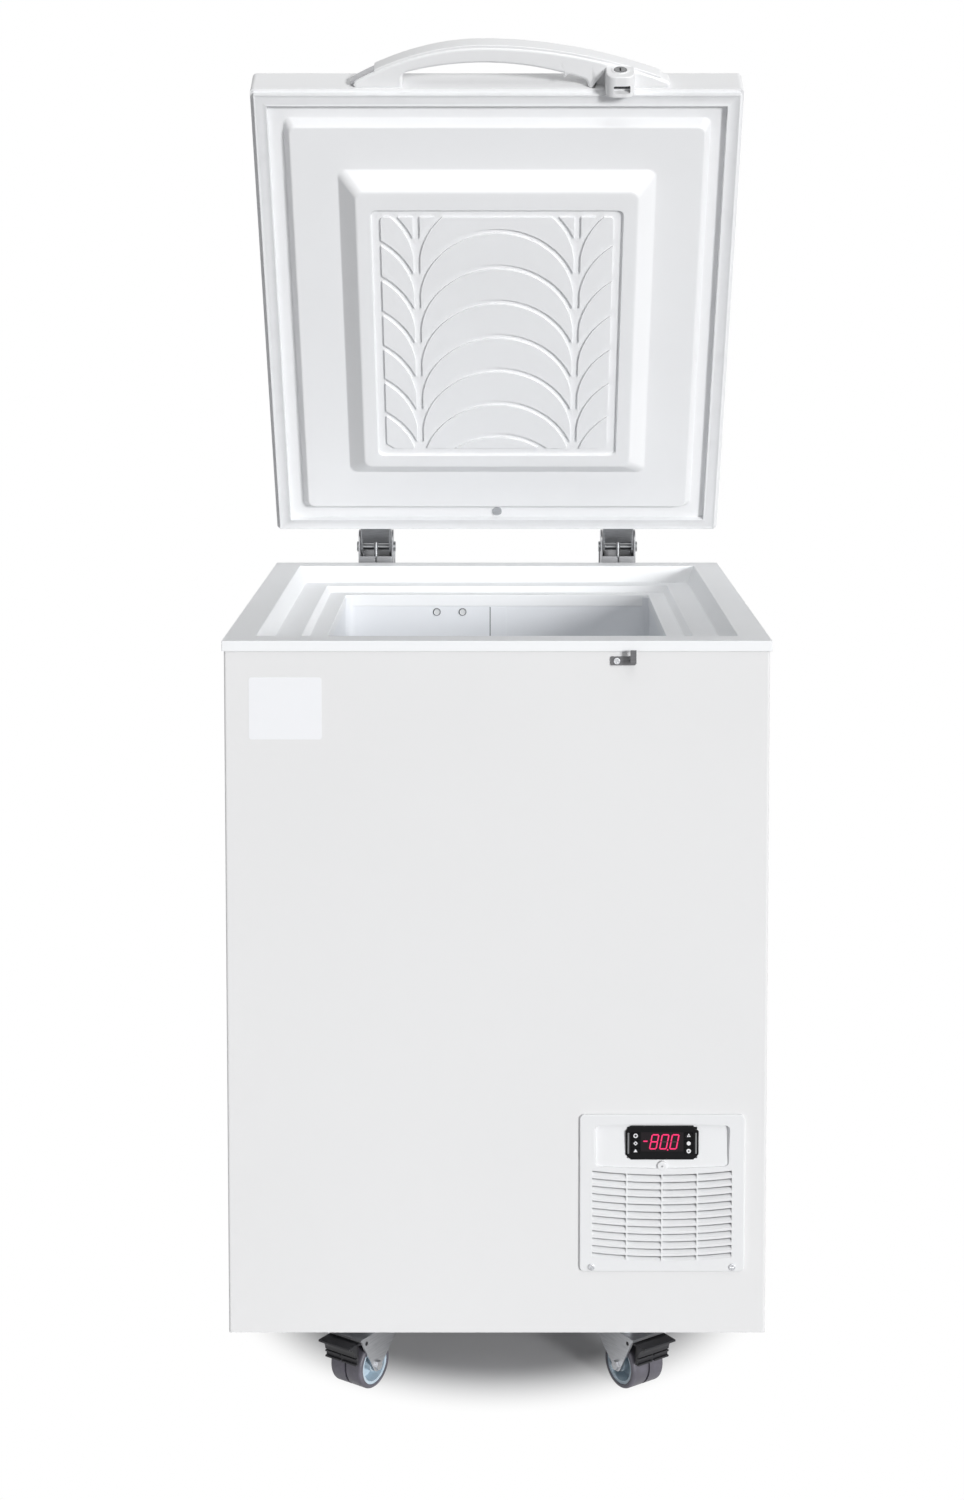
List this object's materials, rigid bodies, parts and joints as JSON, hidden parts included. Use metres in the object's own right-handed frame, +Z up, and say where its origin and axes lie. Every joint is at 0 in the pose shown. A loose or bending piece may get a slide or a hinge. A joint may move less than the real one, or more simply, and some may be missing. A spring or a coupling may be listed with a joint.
{
  "type": "chest ultra low temperature freezer",
  "caption": "Small upright-box chest freezer on castors, with a sprung top lid shown open, a stepped foam lid plug, an arched handle with a lock and a front louvre panel with a controller.",
  "frame": {"origin": "on the floor, under the middle of the cabinet's footprint", "axes": "+Z up, -Y out of the front with the grille panel, +X to the right as seen from the front"},
  "size_m": [0.556, 0.6718, 1.4225],
  "materials": {
    "cabinet_paint": "satin",
    "zinc_steel": "satin",
    "hinge_steel": "satin",
    "white_plastic": "satin",
    "liner_plastic": "satin",
    "gasket_vinyl": "matte",
    "tank_metal": "satin",
    "cap_plastic": "satin",
    "foam": "matte",
    "copper": "satin",
    "compressor_paint": "satin",
    "rubber": "matte",
    "fin_aluminium": "satin",
    "motor_metal": "satin",
    "fan_plastic": "satin",
    "box_plastic": "matte",
    "black_plastic": "satin",
    "display_window": "gloss",
    "key_plastic": "satin",
    "lock_metal": "polished",
    "spring_steel": "satin",
    "hub_plastic": "satin",
    "tyre_rubber": "matte"
  },
  "bodies": {
    "cabinet": {"outer_wrap": "cabinet_paint", "rear_panel": "cabinet_paint", "base_pan": "cabinet_paint", "machine_deck": "zinc_steel", "rim_collar": "white_plastic", "inner_tank": "tank_metal", "tank_caps": "cap_plastic", "insulation_foam": "foam", "evaporator_coil": "copper", "compressor": "compressor_paint", "compressor_feet": "rubber", "condenser": "fin_aluminium", "fan_motor": "motor_metal", "filter_drier": "copper", "refrigerant_lines": "copper", "electrical_box": "box_plastic", "power_inlet": "black_plastic", "rear_cover": "cabinet_paint", "front_grille": "white_plastic", "front_screws": "zinc_steel", "controller_bezel": "black_plastic", "controller_display": "display_window", "keeper": "hinge_steel", "hinge_brackets": "hinge_steel", "rear_screws": "zinc_steel", "hinge_pins": "zinc_steel", "hinge_springs": "spring_steel", "castor_plates": "zinc_steel", "castor_bolts": "zinc_steel"},
    "lid": {"lid_outer_shell": "white_plastic", "lid_foam": "foam", "lid_liner": "liner_plastic", "lid_gasket": "gasket_vinyl", "handle": "white_plastic", "handle_cover": "white_plastic", "lid_screws": "zinc_steel", "lid_hinge_arms": "hinge_steel"},
    "lock": {"lock_barrel": "lock_metal"},
    "fan": {"fan_blade": "fan_plastic"},
    "key_1": {"controller_key_1": "key_plastic"},
    "key_2": {"controller_key_2": "key_plastic"},
    "key_3": {"controller_key_3": "key_plastic"},
    "key_4": {"controller_key_4": "key_plastic"},
    "key_5": {"controller_key_5": "key_plastic"},
    "key_6": {"controller_key_6": "key_plastic"},
    "swivel_front_left": {"castor_fork_front_left": "zinc_steel"},
    "wheel_front_left": {"castor_hub_front_left": "hub_plastic", "castor_tyre_front_left": "tyre_rubber"},
    "swivel_front_right": {"castor_fork_front_right": "zinc_steel"},
    "wheel_front_right": {"castor_hub_front_right": "hub_plastic", "castor_tyre_front_right": "tyre_rubber"},
    "swivel_rear_left": {"castor_fork_rear_left": "zinc_steel"},
    "wheel_rear_left": {"castor_hub_rear_left": "hub_plastic", "castor_tyre_rear_left": "tyre_rubber"},
    "swivel_rear_right": {"castor_fork_rear_right": "zinc_steel"},
    "wheel_rear_right": {"castor_hub_rear_right": "hub_plastic", "castor_tyre_rear_right": "tyre_rubber"},
    "brake_front_left": {"castor_brake_front_left": "black_plastic"},
    "brake_front_right": {"castor_brake_front_right": "black_plastic"}
  },
  "joints": [
    {"name": "lid_hinge", "type": "hinge", "parent": "cabinet", "child": "lid", "pos_m": [0, 0.342, 0.807], "axis": [-1, 0, 0], "range_deg": [-60, 25], "deforming": ["hinge_springs"]},
    {"name": "lock_turn", "type": "hinge", "parent": "lid", "child": "lock", "pos_m": [0.1375, -0.00212, 1.37504], "axis": [0, -0.5, 0.866], "range_deg": [-90, 0]},
    {"name": "fan_spin", "type": "hinge", "parent": "cabinet", "child": "fan", "pos_m": [0.169, -0.198, 0.2085], "axis": [0, 1, 0], "continuous": true},
    {"name": "key_1_press", "type": "slide", "parent": "cabinet", "child": "key_1", "axis": [0, 1, 0], "range_m": [0, 0.0008], "stiffness_N_per_m": 800},
    {"name": "key_2_press", "type": "slide", "parent": "cabinet", "child": "key_2", "axis": [0, 1, 0], "range_m": [0, 0.0008], "stiffness_N_per_m": 800},
    {"name": "key_3_press", "type": "slide", "parent": "cabinet", "child": "key_3", "axis": [0, 1, 0], "range_m": [0, 0.0008], "stiffness_N_per_m": 800},
    {"name": "key_4_press", "type": "slide", "parent": "cabinet", "child": "key_4", "axis": [0, 1, 0], "range_m": [0, 0.0008], "stiffness_N_per_m": 800},
    {"name": "key_5_press", "type": "slide", "parent": "cabinet", "child": "key_5", "axis": [0, 1, 0], "range_m": [0, 0.0008], "stiffness_N_per_m": 800},
    {"name": "key_6_press", "type": "slide", "parent": "cabinet", "child": "key_6", "axis": [0, 1, 0], "range_m": [0, 0.0008], "stiffness_N_per_m": 800},
    {"name": "castor_front_left_swivel", "type": "hinge", "parent": "cabinet", "child": "swivel_front_left", "pos_m": [-0.132, -0.248, 0.065], "axis": [0, 0, 1], "continuous": true},
    {"name": "castor_front_left_roll", "type": "hinge", "parent": "swivel_front_left", "child": "wheel_front_left", "pos_m": [-0.14347, -0.26438, 0.025], "axis": [0.8192, -0.5736, 0], "continuous": true},
    {"name": "castor_front_left_brake", "type": "hinge", "parent": "swivel_front_left", "child": "brake_front_left", "pos_m": [-0.1538, -0.27913, 0.0545], "axis": [0.8192, -0.5736, 0], "range_deg": [0, 10]},
    {"name": "castor_front_right_swivel", "type": "hinge", "parent": "cabinet", "child": "swivel_front_right", "pos_m": [0.132, -0.248, 0.065], "axis": [0, 0, 1], "continuous": true},
    {"name": "castor_front_right_roll", "type": "hinge", "parent": "swivel_front_right", "child": "wheel_front_right", "pos_m": [0.14347, -0.26438, 0.025], "axis": [0.8192, 0.5736, 0], "continuous": true},
    {"name": "castor_front_right_brake", "type": "hinge", "parent": "swivel_front_right", "child": "brake_front_right", "pos_m": [0.1538, -0.27913, 0.0545], "axis": [0.8192, 0.5736, 0], "range_deg": [0, 10]},
    {"name": "castor_rear_left_swivel", "type": "hinge", "parent": "cabinet", "child": "swivel_rear_left", "pos_m": [-0.132, 0.248, 0.065], "axis": [0, 0, 1], "continuous": true},
    {"name": "castor_rear_left_roll", "type": "hinge", "parent": "swivel_rear_left", "child": "wheel_rear_left", "pos_m": [-0.14347, 0.26438, 0.025], "axis": [-0.8192, -0.5736, 0], "continuous": true},
    {"name": "castor_rear_right_swivel", "type": "hinge", "parent": "cabinet", "child": "swivel_rear_right", "pos_m": [0.132, 0.248, 0.065], "axis": [0, 0, 1], "continuous": true},
    {"name": "castor_rear_right_roll", "type": "hinge", "parent": "swivel_rear_right", "child": "wheel_rear_right", "pos_m": [0.14347, 0.26438, 0.025], "axis": [-0.8192, 0.5736, 0], "continuous": true}
  ]
}
